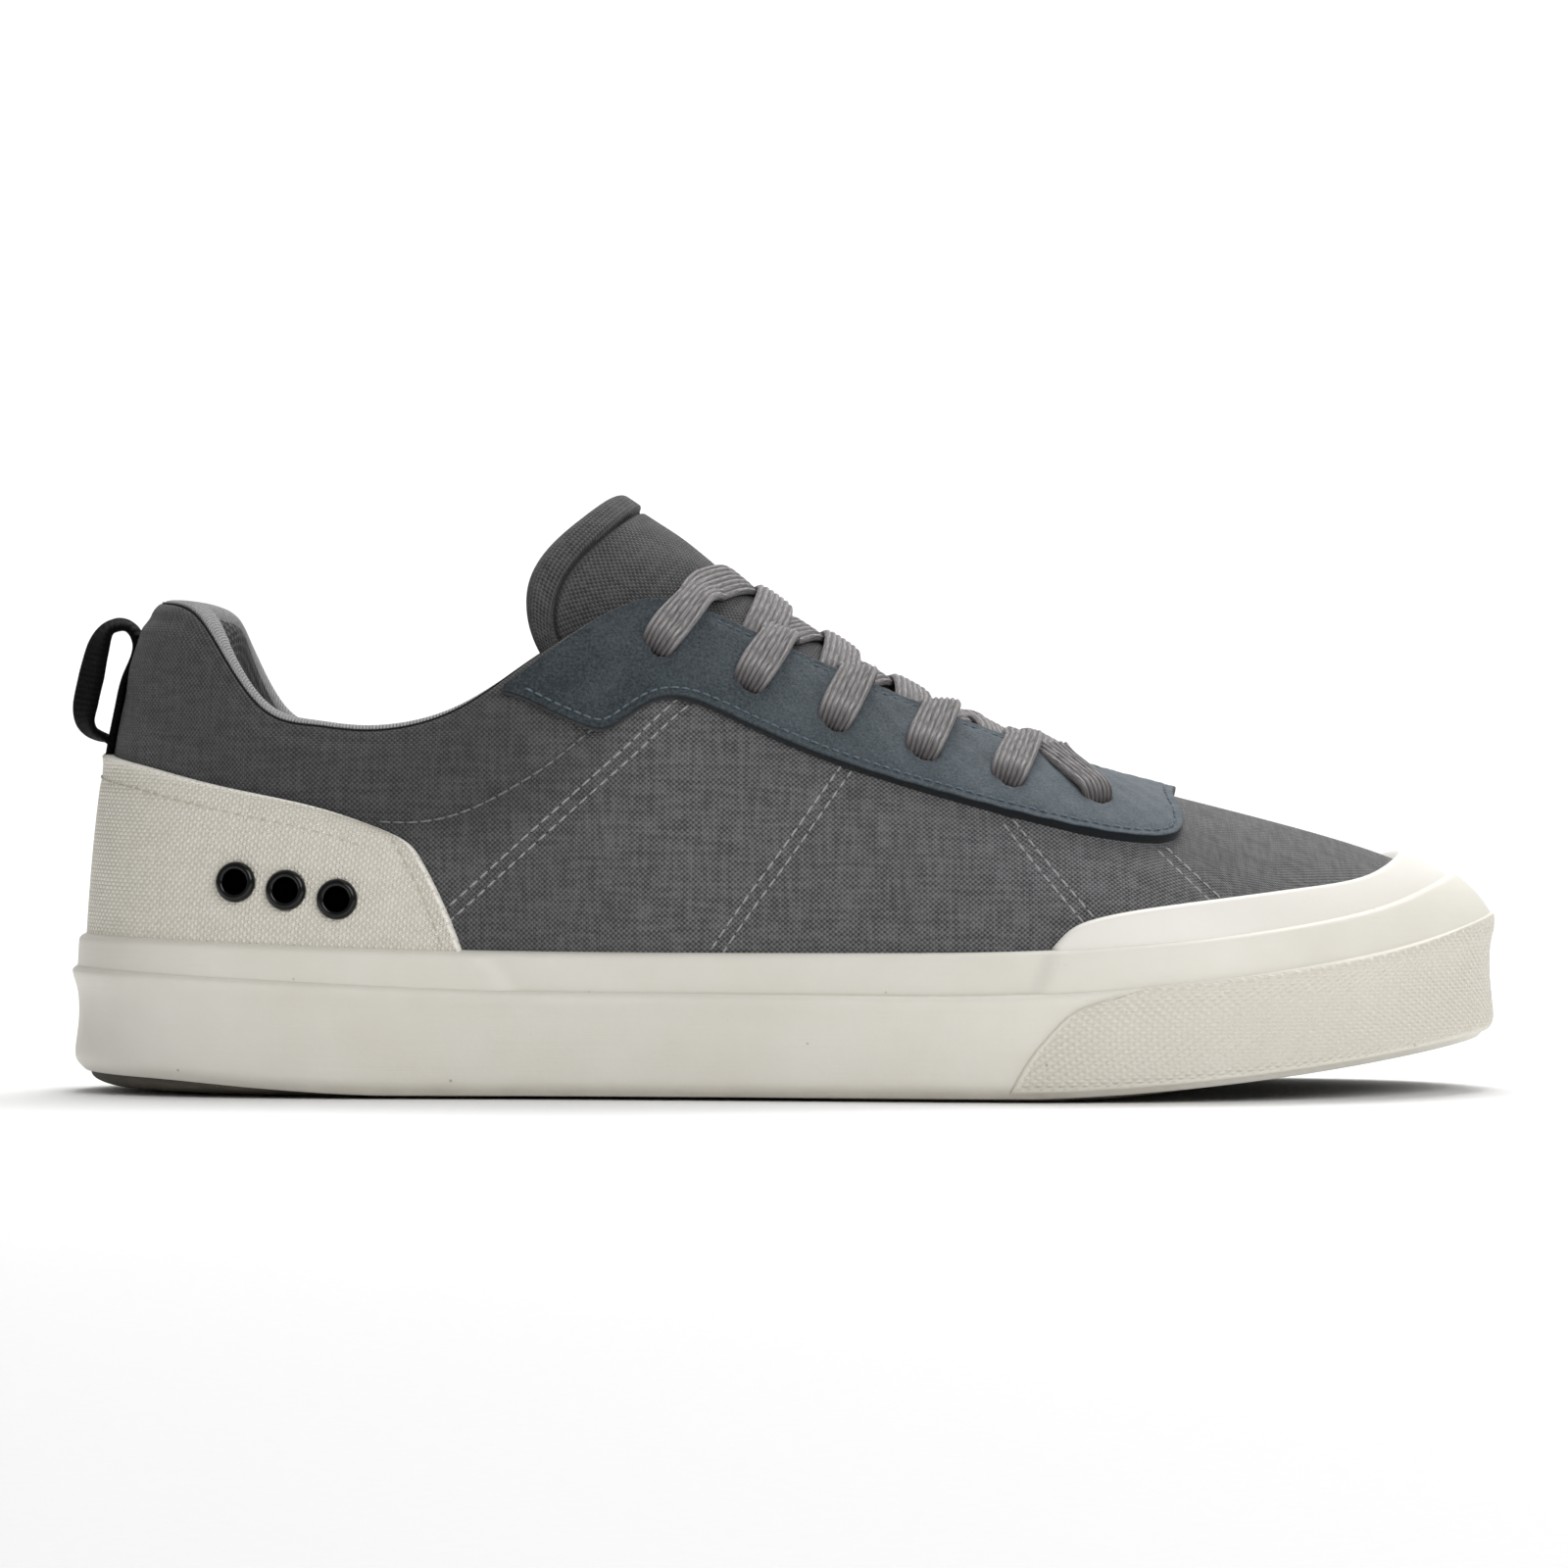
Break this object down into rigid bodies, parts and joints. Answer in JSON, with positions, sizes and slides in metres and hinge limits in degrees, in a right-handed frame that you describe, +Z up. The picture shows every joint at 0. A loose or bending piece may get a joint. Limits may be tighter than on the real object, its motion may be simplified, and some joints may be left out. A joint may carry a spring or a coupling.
{
  "type": "sneaker",
  "caption": "Low lace-up canvas sneaker for the right foot: hollow upper with padded collar, suede eyestay, tongue, flat laces, rubber foxing and toe cap, heel counter with vents and pull loop.",
  "frame": {"origin": "Midway along the shoe and midway across it, on the floor under the sole.", "axes": "+X runs from the heel to the toe, +Y to the inner side of the right foot, +Z up."},
  "size_m": [0.2981, 0.1113, 0.1244],
  "materials": {
    "sole_rubber": "matte off-white vulcanised rubber",
    "canvas": "plain-woven charcoal canvas",
    "counter_cloth": "coarse coated bone-coloured weave",
    "enamel": "gloss black enamel",
    "suede": "napped blue-grey suede",
    "footbed": "grey knit over foam",
    "lace": "flat ribbed grey cotton",
    "webbing": "black ribbed webbing"
  },
  "bodies": {
    "root": {"outsole": "sole_rubber", "foxing_band": "sole_rubber", "foxing_strip": "sole_rubber", "toe_bumper": "sole_rubber", "toe_cap": "sole_rubber", "upper": "canvas", "tongue": "canvas", "heel_counter": "counter_cloth", "vent_eyelet_1": "enamel", "vent_eyelet_2": "enamel", "vent_eyelet_3": "enamel", "eyestay": "suede", "insole": "footbed", "lace_cross_1": "lace", "lace_cross_2": "lace", "lace_cross_3": "lace", "lace_cross_4": "lace", "lace_cross_5": "lace", "pull_loop": "webbing"}
  },
  "joints": []
}
